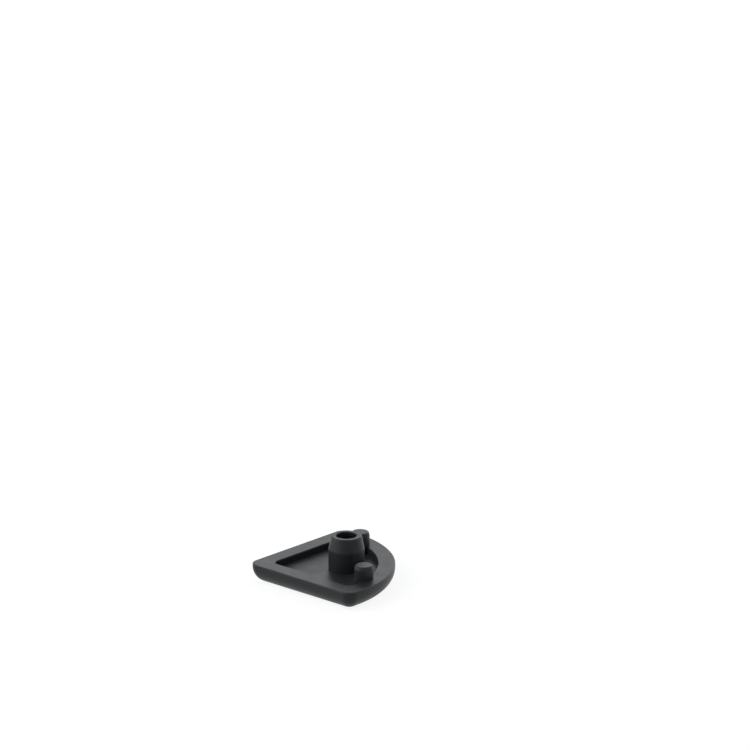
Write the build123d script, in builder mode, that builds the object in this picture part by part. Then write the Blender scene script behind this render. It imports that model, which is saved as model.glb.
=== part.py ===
from build123d import *
from math import sqrt
import os

# Push-in end cap for a quarter-round framing profile, moulded in one piece.
# Millimetres. The origin is on the centre peg's axis, in the plane of the rim that seats on the profile's end.
# +Z points the way the peg and the studs point, and the two straight sides run along X and Y.

# Plate that covers the profile's end
side = 40.0
arc_centre_inset = 5.5
plate_thickness = 5.7
outer_edge_radius = 4.6
corner_radius = 3.2
edge_break = 0.2

# Recess in the inner side, which leaves a flat rim
rim_width = 5.0
recess_depth = 2.0
recess_corner_radius = 2.0
recess_floor_radius = 0.25

# Centre peg, pressed into the profile's core bore
peg_diameter = 10.4
peg_tip_diameter = 8.8
peg_height = 8.0
peg_lead_height = 4.0
peg_hole_diameter = 5.9

# Studs that locate in the closed cavities on both sides of the round side's middle
stud_diameter = 5.5
stud_foot_diameter = 5.8
stud_tip_diameter = 4.9
stud_height = 4.0
stud_lead_height = 1.0
stud_from_round_side = 5.7
stud_from_straight_side = 13.0

# Places worked out from the sizes above
half_side = side / 2
arc_centre = arc_centre_inset - half_side
arc_radius = side - arc_centre_inset
recess_near = rim_width - half_side
recess_radius = arc_radius - rim_width
stud_across = stud_from_straight_side - half_side
stud_reach = arc_radius - stud_from_round_side
stud_along = arc_centre + sqrt(stud_reach**2 - (stud_across - arc_centre) ** 2)
rounded_edge = min(outer_edge_radius, 0.9 * plate_thickness)
diagonal = Axis((0, 0, 0), (1, 1, 0))


def turned_pin(x, y, foot_diameter, diameter, tip_diameter, height, lead_height):
    """Add a pin: its foot in the recess, a straight wall above the rim's plane and a tapered lead at the top."""
    with BuildSketch(Plane((x, y, 0), x_dir=(1, 0, 0), z_dir=(0, -1, 0))) as half_section:
        with BuildLine():
            Polyline(
                (0, -recess_depth),
                (foot_diameter / 2, -recess_depth),
                (diameter / 2, 0),
                (diameter / 2, height - lead_height),
                (tip_diameter / 2, height),
                (0, height),
                close=True,
            )
        make_face()
    revolve(half_section.sketch, axis=Axis((x, y, 0), (0, 0, 1)))


os.makedirs("parts", exist_ok=True)

with BuildPart() as end_cap:
    # Quarter-round plate, with its outer face down
    with BuildSketch(Plane.XY.offset(-plate_thickness)) as plate_outline:
        Rectangle(side, side)
        fillet(plate_outline.vertices().sort_by(diagonal)[-1], arc_radius)
    extrude(amount=plate_thickness)
    fillet(end_cap.faces().sort_by(Axis.Z)[0].edges(), rounded_edge)
    corner_edges = end_cap.edges().filter_by(Axis.Z).sort_by_distance((0, 0, 0))[-3:]
    fillet(corner_edges, corner_radius)

    # Recess that leaves the rim
    with BuildSketch() as recess_outline:
        with Locations((arc_centre, arc_centre)):
            Circle(recess_radius)
        with Locations((recess_near, recess_near)):
            Rectangle(side, side, align=Align.MIN, mode=Mode.INTERSECT)
        fillet(recess_outline.vertices(), recess_corner_radius)
    extrude(amount=-recess_depth, mode=Mode.SUBTRACT)
    level_faces = end_cap.faces().filter_by(Axis.Z).sort_by(Axis.Z)
    chamfer(level_faces[-1].edges(), edge_break)
    fillet(level_faces[-2].edges(), recess_floor_radius)

    # Studs beside the round side, half on the rim and half in the recess, where their feet are drafted
    for x, y in [(stud_along, stud_across), (stud_across, stud_along)]:
        turned_pin(x, y, stud_foot_diameter, stud_diameter, stud_tip_diameter, stud_height, stud_lead_height)
    stud_tops = end_cap.faces().filter_by(Axis.Z).sort_by(Axis.Z)[-2:]
    chamfer(stud_tops.edges(), edge_break)

    # Centre peg, cored out down to the level of the recess floor
    turned_pin(0, 0, peg_diameter, peg_diameter, peg_tip_diameter, peg_height, peg_lead_height)
    with Locations((0, 0, peg_height)):
        Hole(peg_hole_diameter / 2, depth=peg_height + recess_depth)
    chamfer(end_cap.faces().sort_by(Axis.Z)[-1].edges(), edge_break)

end_cap.part.label = "end_cap"
export_step(end_cap.part, "parts/end_cap.step")
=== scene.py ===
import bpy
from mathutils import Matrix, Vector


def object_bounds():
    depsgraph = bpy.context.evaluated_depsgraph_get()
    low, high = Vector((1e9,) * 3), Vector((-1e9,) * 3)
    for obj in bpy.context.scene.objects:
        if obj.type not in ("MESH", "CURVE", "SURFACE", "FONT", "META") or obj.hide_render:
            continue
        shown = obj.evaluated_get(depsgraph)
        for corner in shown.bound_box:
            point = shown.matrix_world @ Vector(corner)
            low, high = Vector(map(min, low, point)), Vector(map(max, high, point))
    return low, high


bl_info = {
    "name": "Profile End Cap",
    "version": (1, 0, 0),
    "blender": (4, 5, 0),
    "location": "3D View > Sidebar > End Cap",
    "description": "Finishes a moulded end cap for quarter-round framing profiles and sets its stage",
    "category": "Object",
}

from math import cos, radians, sin

import bmesh
import bpy
from bpy.props import FloatProperty, FloatVectorProperty, PointerProperty
from bpy.types import Operator, Panel, PropertyGroup
from mathutils import Matrix, Vector

MILLIMETRE = 0.001
PICTURE_WIDTH = 750
NEAR_CLIP = 0.1
FAR_CLIP = 100.0
FLOOR_SEGMENTS = 96

# Octaves of the noise that gives the grain, and of the one that gives the drift
GRAIN_DETAIL = 2.0
DRIFT_DETAIL = 3.0
# Rays with which the plastic feels for edges and inner corners, and their reach in edge radii
FEELER_RAYS = 6
FEELER_REACH = 3
# Cosine between the softened and the real normal, from an edge's border to its middle
EDGE_TURN = (0.99, 0.85)
# Share of the surroundings that is open, from an inner corner to an outer edge
OPEN_SHARE = (0.75, 0.95)
# Values that most of the drift's noise keeps to, and the grain's noise from a pit to the even surface
DRIFT_SPAN = (0.3, 0.7)
PIT_SPAN = (0.35, 0.6)
# Upward part of the normal where the recess wall's rounded foot leaves the wall, and where it meets the floor
OFF_WALL = (0.02, 0.06)
OFF_FLOOR = (0.99, 0.95)
# Height over which the crisp shading of that foot fades out
FOOT_FADE = 0.05 * MILLIMETRE

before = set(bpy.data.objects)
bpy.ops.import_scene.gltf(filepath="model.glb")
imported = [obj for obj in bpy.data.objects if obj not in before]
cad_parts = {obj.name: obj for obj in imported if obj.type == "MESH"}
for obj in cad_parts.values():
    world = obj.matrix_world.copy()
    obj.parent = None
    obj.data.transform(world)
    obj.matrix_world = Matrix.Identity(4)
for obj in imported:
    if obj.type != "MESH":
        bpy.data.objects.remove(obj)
cad_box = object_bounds()


class EndCapFinish(PropertyGroup):
    """Colour and surface of the moulded plastic."""

    colour: FloatVectorProperty(
        name="Colour",
        description="Colour of the plastic",
        subtype="COLOR",
        size=3,
        min=0.0,
        max=1.0,
        default=(0.0134, 0.0145, 0.0157),
    )
    shade_range: FloatProperty(
        name="Shade range",
        description="How far the colour drifts to each side over the moulding, as a share",
        subtype="FACTOR",
        min=0.0,
        max=1.0,
        default=0.07,
    )
    drift_size: FloatProperty(
        name="Drift size",
        description="Size of the cloudy areas in which colour and roughness drift",
        subtype="DISTANCE",
        unit="LENGTH",
        min=0.0005,
        default=4.5 * MILLIMETRE,
    )
    roughness: FloatProperty(
        name="Roughness",
        description="Middle of the surface's roughness",
        subtype="FACTOR",
        min=0.0,
        max=1.0,
        default=0.42,
    )
    roughness_range: FloatProperty(
        name="Roughness range",
        description="How far the roughness drifts to each side",
        subtype="FACTOR",
        min=0.0,
        max=0.5,
        default=0.03,
    )
    specular: FloatProperty(
        name="Specular level",
        description="Strength of the plastic's reflection",
        subtype="FACTOR",
        min=0.0,
        max=1.0,
        default=0.2,
    )
    grain_size: FloatProperty(
        name="Grain size",
        description="Distance between the bumps that the eroded mould leaves",
        subtype="DISTANCE",
        unit="LENGTH",
        min=0.00005,
        default=0.22 * MILLIMETRE,
    )
    grain_depth: FloatProperty(
        name="Grain depth",
        description="Height of those bumps",
        subtype="DISTANCE",
        unit="LENGTH",
        min=0.0,
        default=0.035 * MILLIMETRE,
    )
    grain_shade: FloatProperty(
        name="Grain shade",
        description="How much darker the pits between the bumps are, as a share",
        subtype="FACTOR",
        min=0.0,
        max=1.0,
        default=0.25,
    )
    edge_softness: FloatProperty(
        name="Edge softness",
        description="Radius with which the moulding's outer edges are shaded",
        subtype="DISTANCE",
        unit="LENGTH",
        min=0.0,
        default=0.12 * MILLIMETRE,
    )
    recess_floor: FloatProperty(
        name="Recess floor",
        description="Depth of the recess's floor under the rim",
        subtype="DISTANCE",
        unit="LENGTH",
        min=0.0,
        default=2.0 * MILLIMETRE,
    )
    crisp_foot: FloatProperty(
        name="Crisp foot",
        description="Height of the recess wall's rounded foot, which is shaded as a crisp corner",
        subtype="DISTANCE",
        unit="LENGTH",
        min=0.0,
        default=0.25 * MILLIMETRE,
    )
    # Edge colour: a painted highlight along the outer edges, together with the lighter rub that handling
    # leaves
    edge_wear_and_sheen_colour: FloatVectorProperty(
        name="Edge colour",
        description="Lighter colour of the edges, which handling has rubbed",
        subtype="COLOR",
        size=3,
        min=0.0,
        max=1.0,
        default=(0.075, 0.080, 0.085),
    )
    edge_roughness: FloatProperty(
        name="Edge roughness",
        description="Roughness of the rubbed edges",
        subtype="FACTOR",
        min=0.0,
        max=1.0,
        default=0.34,
    )


class EndCapStage(PropertyGroup):
    """Camera, floor and light around the cap."""

    focal_length: FloatProperty(
        name="Focal length",
        description="Lens that gives the picture's weak perspective",
        unit="CAMERA",
        min=1.0,
        default=651.9,
    )
    camera_azimuth: FloatProperty(
        name="Camera azimuth",
        description="Turn of the camera round the cap, from looking along +Y",
        subtype="ANGLE",
        default=radians(42.86),
    )
    camera_elevation: FloatProperty(
        name="Camera elevation",
        description="Height of the camera as an angle above the horizon",
        subtype="ANGLE",
        default=radians(18.74),
    )
    corner_distance: FloatProperty(
        name="Distance of the square corner",
        description="Depth from the camera to the corner where the two straight sides meet",
        subtype="DISTANCE",
        unit="LENGTH",
        min=0.1,
        default=3.896,
    )
    corner_pixel_x: FloatProperty(
        name="Square corner's pixel from the left",
        description="Where that corner of the rim's plane lies in the picture",
        subtype="PIXEL",
        default=247.92,
    )
    corner_pixel_y: FloatProperty(
        name="Square corner's pixel from the top",
        description="Where that corner of the rim's plane lies in the picture",
        subtype="PIXEL",
        default=562.71,
    )
    floor_width: FloatProperty(
        name="Floor width",
        description="Width of the round floor",
        subtype="DISTANCE",
        unit="LENGTH",
        min=0.1,
        default=12.0,
    )
    floor_colour: FloatVectorProperty(
        name="Floor colour",
        description="Pale colour that the floor throws back onto the cap",
        subtype="COLOR",
        size=3,
        min=0.0,
        max=1.0,
        default=(0.8, 0.8, 0.8),
    )
    floor_glow: FloatProperty(
        name="Floor glow",
        description="Part of the floor's white that the cap's shadow doesn't darken in the picture",
        subtype="FACTOR",
        min=0.0,
        max=1.0,
        default=0.88,
    )
    floor_shade: FloatProperty(
        name="Floor shade",
        description="Grey of the floor's matte part, which carries the cap's shadow in the picture",
        subtype="FACTOR",
        min=0.0,
        max=1.0,
        default=0.18,
    )
    light_colour: FloatVectorProperty(
        name="Light colour",
        description="Slightly cool white of the lamps and the surroundings",
        subtype="COLOR",
        size=3,
        min=0.0,
        max=1.0,
        default=(0.95, 0.975, 1.0),
    )
    white_level: FloatProperty(
        name="White level",
        description="Strength at which the surroundings show as plain white",
        min=0.0,
        default=1.053,
    )
    ambient: FloatProperty(
        name="Ambient light",
        description="Strength of the even light from all round",
        min=0.0,
        default=0.42,
    )


def camera_axes(azimuth, elevation):
    """Right, up and back of a level camera that looks at the cap from there."""
    right = Vector((cos(azimuth), sin(azimuth), 0))
    back = Vector((sin(azimuth) * cos(elevation), -cos(azimuth) * cos(elevation), sin(elevation)))
    return right, back.cross(right), back


class Nodes:
    """Short way to add linked nodes to a node tree."""

    def __init__(self, tree):
        self.tree = tree

    def add(self, kind, inputs=None, **settings):
        """A new node, whose inputs are linked to sockets or set to plain values."""
        node = self.tree.nodes.new(kind)
        for name, value in settings.items():
            setattr(node, name, value)
        for name, value in (inputs or {}).items():
            socket = node.inputs[name]
            if isinstance(value, bpy.types.NodeSocket):
                self.tree.links.new(value, socket)
            else:
                socket.default_value = value
        return node

    def math(self, operation, first, second):
        return self.add("ShaderNodeMath", {0: first, 1: second}, operation=operation).outputs[0]

    def vector(self, operation, inputs):
        return self.add("ShaderNodeVectorMath", inputs, operation=operation).outputs["Vector"]

    def height(self, vector):
        return self.add("ShaderNodeSeparateXYZ", {"Vector": vector}).outputs["Z"]

    def spread(self, value, low, high, to_low=0.0, to_high=1.0):
        """The value's stretch from low to high, spread over another range and held at its ends."""
        inputs = {"Value": value, "From Min": low, "From Max": high, "To Min": to_low, "To Max": to_high}
        return self.add("ShaderNodeMapRange", inputs).outputs["Result"]

    def blend(self, factor, first, second):
        """The first colour, going over into the second as the factor rises to 1."""
        return self.add("ShaderNodeMix", {0: factor, 6: first, 7: second}, data_type="RGBA").outputs[2]

    def noise(self, where, size, detail):
        """Noise whose blotches are about that size."""
        inputs = {"Vector": where, "Scale": 1 / size, "Detail": detail}
        return self.add("ShaderNodeTexNoise", inputs).outputs["Fac"]

    def sees_stage(self):
        """1 for the camera, glossy and transmitted rays that show the white stage, and 0 for its light."""
        path = self.add("ShaderNodeLightPath").outputs
        seen = self.math("MAXIMUM", path["Is Camera Ray"], path["Is Glossy Ray"])
        return self.math("MAXIMUM", seen, path["Is Transmission Ray"])


def crisp_normal(nodes, finish, where, normal):
    """The normal, laid level on the recess floor's small radius, so that it looks like a crisp corner."""
    rise = nodes.height(nodes.add("ShaderNodeTexCoord").outputs["Normal"])
    top = finish.crisp_foot - finish.recess_floor
    low = nodes.spread(nodes.height(where), top + FOOT_FADE, top)
    sloping = nodes.math("MULTIPLY", nodes.spread(rise, *OFF_WALL), nodes.spread(rise, *OFF_FLOOR))
    upright = nodes.math("SUBTRACT", 1.0, nodes.math("MULTIPLY", low, sloping))
    flatten = nodes.add("ShaderNodeCombineXYZ", {"X": 1.0, "Y": 1.0, "Z": upright}).outputs["Vector"]
    return nodes.vector("NORMALIZE", {0: nodes.vector("MULTIPLY", {0: normal, 1: flatten})})


def feel_edges(nodes, finish):
    """How far a place lies on an outer edge, from 0 to 1, and the normal that softens such edges."""
    radius = finish.edge_softness
    rounded = nodes.add("ShaderNodeBevel", {"Radius": radius}, samples=FEELER_RAYS).outputs["Normal"]
    flat = nodes.add("ShaderNodeNewGeometry").outputs["Normal"]
    turn = nodes.add("ShaderNodeVectorMath", {0: rounded, 1: flat}, operation="DOT_PRODUCT").outputs["Value"]
    feeler = nodes.add(
        "ShaderNodeAmbientOcclusion",
        {"Distance": FEELER_REACH * radius},
        samples=FEELER_RAYS,
        only_local=True,
    )
    outer = nodes.spread(feeler.outputs["AO"], *OPEN_SHARE)
    edge = nodes.math("MULTIPLY", nodes.spread(turn, *EDGE_TURN), outer)
    normal = nodes.add("ShaderNodeMix", {0: outer, 4: flat, 5: rounded}, data_type="VECTOR").outputs[1]
    return edge, normal


def moulded_plastic(finish):
    """Matte plastic with the fine grain of an eroded mould, cloudy drift, and outer edges that are rubbed and
    carry a painted highlight.
    """
    material = bpy.data.materials.new("moulded_plastic")
    material.use_nodes = True
    nodes = Nodes(material.node_tree)
    where = nodes.add("ShaderNodeTexCoord").outputs["Object"]
    grain = nodes.noise(where, finish.grain_size, GRAIN_DETAIL)
    drift = nodes.noise(where, finish.drift_size, DRIFT_DETAIL)
    edge, normal = feel_edges(nodes, finish)

    cloud = nodes.spread(drift, *DRIFT_SPAN, 1 - finish.shade_range, 1 + finish.shade_range)
    pits = nodes.spread(grain, *PIT_SPAN, 1 - finish.grain_shade)
    shade = nodes.math("MULTIPLY", cloud, pits)
    body = nodes.vector("SCALE", {0: finish.colour, "Scale": shade})
    # The outer edges are painted lighter: a painted highlight, with the rub of handling
    colour = nodes.blend(edge, body, (*finish.edge_wear_and_sheen_colour, 1))

    smoothest = finish.roughness - finish.roughness_range
    roughest = finish.roughness + finish.roughness_range
    rough = nodes.spread(drift, *DRIFT_SPAN, smoothest, roughest)
    rough = nodes.spread(edge, 0.0, 1.0, rough, finish.edge_roughness)

    crisp = crisp_normal(nodes, finish, where, normal)
    bump = nodes.add("ShaderNodeBump", {"Distance": finish.grain_depth, "Height": grain, "Normal": crisp})

    shader = material.node_tree.nodes["Principled BSDF"]
    shader.inputs["Specular IOR Level"].default_value = finish.specular
    links = material.node_tree.links
    links.new(colour, shader.inputs["Base Color"])
    links.new(rough, shader.inputs["Roughness"])
    links.new(bump.outputs["Normal"], shader.inputs["Normal"])
    return material


def pale_floor(stage):
    """Pale matte floor that the camera sees as white, with the cap's shadow on it."""
    material = bpy.data.materials.new("pale_floor")
    material.use_nodes = True
    tree = material.node_tree
    tree.nodes.remove(tree.nodes["Principled BSDF"])
    nodes = Nodes(tree)
    glow = nodes.add("ShaderNodeEmission", {"Strength": stage.floor_glow}).outputs[0]
    grey = [stage.floor_shade] * 3
    shaded = nodes.add("ShaderNodeBsdfDiffuse", {"Color": (*grey, 1)}).outputs[0]
    shown = nodes.add("ShaderNodeAddShader", {0: glow, 1: shaded}).outputs[0]
    plain = nodes.add("ShaderNodeBsdfDiffuse", {"Color": (*stage.floor_colour, 1)}).outputs[0]
    mix = nodes.add("ShaderNodeMixShader", {0: nodes.sees_stage(), 1: plain, 2: shown}).outputs[0]
    tree.links.new(mix, tree.nodes["Material Output"].inputs["Surface"])
    return material


class ENDCAP_OT_dress_cap(Operator):
    """Give the moulded cap its plastic"""

    bl_idname = "end_cap.dress_cap"
    bl_label = "Dress Cap"

    def execute(self, context):
        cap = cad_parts["end_cap"]
        cap.material_slots[0].material = moulded_plastic(context.scene.end_cap_finish)
        return {"FINISHED"}


class ENDCAP_OT_set_stage(Operator):
    """Set the camera, the floor and the light"""

    bl_idname = "end_cap.set_stage"
    bl_label = "Set Stage"

    # Name, azimuth from the camera's side towards its right, elevation, width as an angle, and strength
    lamps = (
        ("back_key", 150, 10, 80, 1.08),
        ("low_left_key", 270, 10, 40, 0.92),
        ("high_left_key", 270, 45, 40, 0.86),
        ("left_fill", 300, 10, 40, 0.54),
        ("right_fill", 60, 25, 80, 0.2),
    )

    def execute(self, context):
        scene = context.scene
        scene.view_settings.view_transform = "Standard"
        self.add_camera(scene)
        self.add_floor(scene)
        self.add_world(scene)
        for name, *where in self.lamps:
            self.add_lamp(scene, name, *where)
        return {"FINISHED"}

    def add_camera(self, scene):
        """Camera that shows the rim's square corner at its pixel of the picture."""
        stage = scene.end_cap_stage
        data = bpy.data.cameras.new("camera")
        data.lens = stage.focal_length
        data.clip_start = NEAR_CLIP
        data.clip_end = FAR_CLIP
        camera = bpy.data.objects.new("camera", data)
        scene.collection.objects.link(camera)
        scene.camera = camera
        right, up, back = camera_axes(stage.camera_azimuth, stage.camera_elevation)
        pixel_at_corner = stage.corner_distance * data.sensor_width / data.lens / PICTURE_WIDTH
        across = (stage.corner_pixel_x - PICTURE_WIDTH / 2) * pixel_at_corner
        above = (PICTURE_WIDTH / 2 - stage.corner_pixel_y) * pixel_at_corner
        corner = Vector((cad_box[0].x, cad_box[0].y, 0))
        place = corner - right * across - up * above + back * stage.corner_distance
        camera.matrix_world = Matrix.Translation(place) @ Matrix((right, up, back)).transposed().to_4x4()

    def add_floor(self, scene):
        """Round floor under the cap's outer face."""
        stage = scene.end_cap_stage
        mesh = bpy.data.meshes.new("floor")
        shape = bmesh.new()
        bmesh.ops.create_circle(
            shape,
            cap_ends=True,
            segments=FLOOR_SEGMENTS,
            radius=stage.floor_width / 2,
            matrix=Matrix.Translation((0, 0, cad_box[0].z)),
        )
        shape.to_mesh(mesh)
        shape.free()
        mesh.materials.append(pale_floor(stage))
        floor = bpy.data.objects.new("floor", mesh)
        scene.collection.objects.link(floor)

    def add_world(self, scene):
        """Even ambient light, behind which the camera and reflections see plain white."""
        world = bpy.data.worlds.new("studio")
        scene.world = world
        world.use_nodes = True
        nodes = Nodes(world.node_tree)
        stage = scene.end_cap_stage
        strength = nodes.spread(nodes.sees_stage(), 0.0, 1.0, stage.ambient, stage.white_level)
        sky = world.node_tree.nodes["Background"]
        sky.inputs["Color"].default_value = (*stage.light_colour, 1)
        world.node_tree.links.new(strength, sky.inputs["Strength"])

    def add_lamp(self, scene, name, azimuth, elevation, width, strength):
        """Soft lamp that shines on the cap from one side, however far away."""
        data = bpy.data.lights.new(name, "SUN")
        data.angle = radians(width)
        data.energy = strength
        data.color = scene.end_cap_stage.light_colour
        lamp = bpy.data.objects.new(name, data)
        scene.collection.objects.link(lamp)
        turn = scene.end_cap_stage.camera_azimuth + radians(azimuth)
        _, _, towards = camera_axes(turn, radians(elevation))
        lamp.rotation_euler = towards.to_track_quat("Z", "Y").to_euler()


class ENDCAP_PT_sidebar(Panel):
    """The cap's settings and operators"""

    bl_label = "End Cap"
    bl_space_type = "VIEW_3D"
    bl_region_type = "UI"
    bl_category = "End Cap"

    def draw(self, context):
        for settings, operator in (
            (context.scene.end_cap_finish, ENDCAP_OT_dress_cap),
            (context.scene.end_cap_stage, ENDCAP_OT_set_stage),
        ):
            box = self.layout.box()
            for name in type(settings).__annotations__:
                box.prop(settings, name)
            box.operator(operator.bl_idname)


CLASSES = (EndCapFinish, EndCapStage, ENDCAP_OT_dress_cap, ENDCAP_OT_set_stage, ENDCAP_PT_sidebar)


def register():
    for each in CLASSES:
        bpy.utils.register_class(each)
    bpy.types.Scene.end_cap_finish = PointerProperty(type=EndCapFinish)
    bpy.types.Scene.end_cap_stage = PointerProperty(type=EndCapStage)


def unregister():
    del bpy.types.Scene.end_cap_stage
    del bpy.types.Scene.end_cap_finish
    for each in reversed(CLASSES):
        bpy.utils.unregister_class(each)


def main():
    register()
    bpy.ops.end_cap.dress_cap()
    bpy.ops.end_cap.set_stage()


if __name__ == "__main__":
    main()
